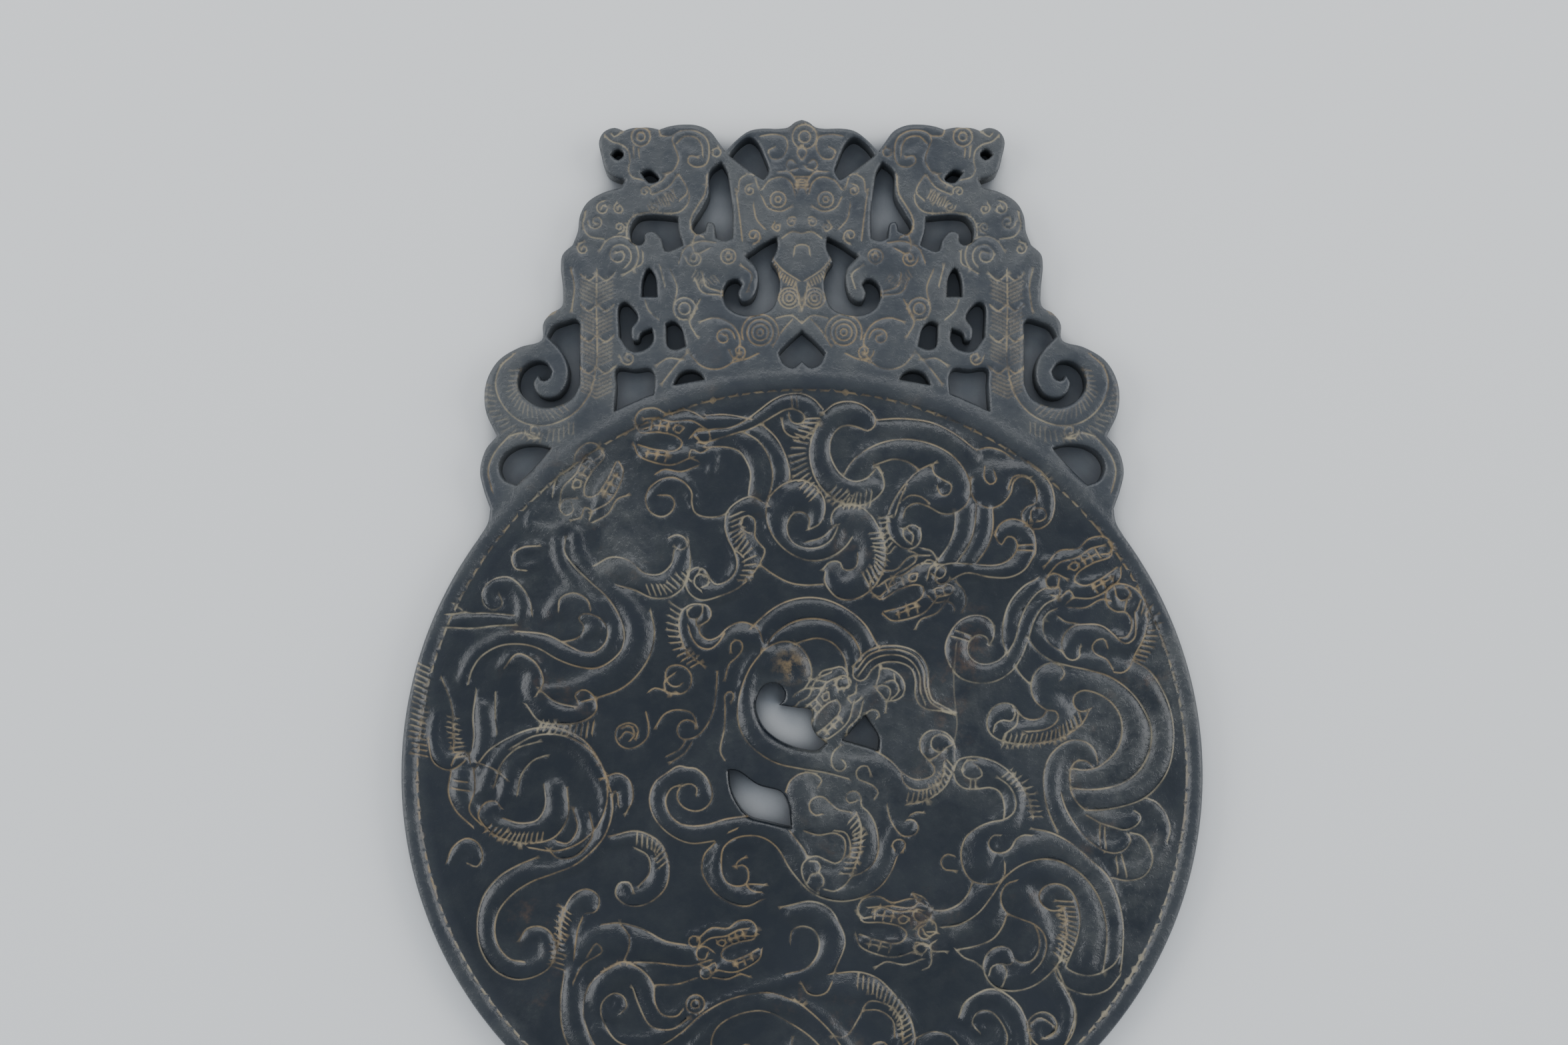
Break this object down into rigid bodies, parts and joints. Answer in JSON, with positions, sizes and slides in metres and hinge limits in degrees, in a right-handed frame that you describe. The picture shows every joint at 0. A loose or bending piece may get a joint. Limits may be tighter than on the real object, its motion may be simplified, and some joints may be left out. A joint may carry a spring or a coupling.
{
  "type": "jade disc carving with an openwork crest",
  "caption": "Dark nephrite disc carved with coiling dragons, pierced at its middle, under a tall openwork crest of beasts, birds and a mask.",
  "frame": {"origin": "on the plain back, under the middle of the whole outline; the disc's own centre is 32.3 mm towards -Y", "axes": "+Z out of the carved face, +Y from the disc towards the crest, X across"},
  "size_m": [0.2, 0.2646, 0.0074],
  "materials": {
    "jade": "polished blue-black nephrite, opaque, with pale ochre residue in the cut lines"
  },
  "bodies": {
    "root": {"jade_carving": "jade"}
  },
  "joints": []
}
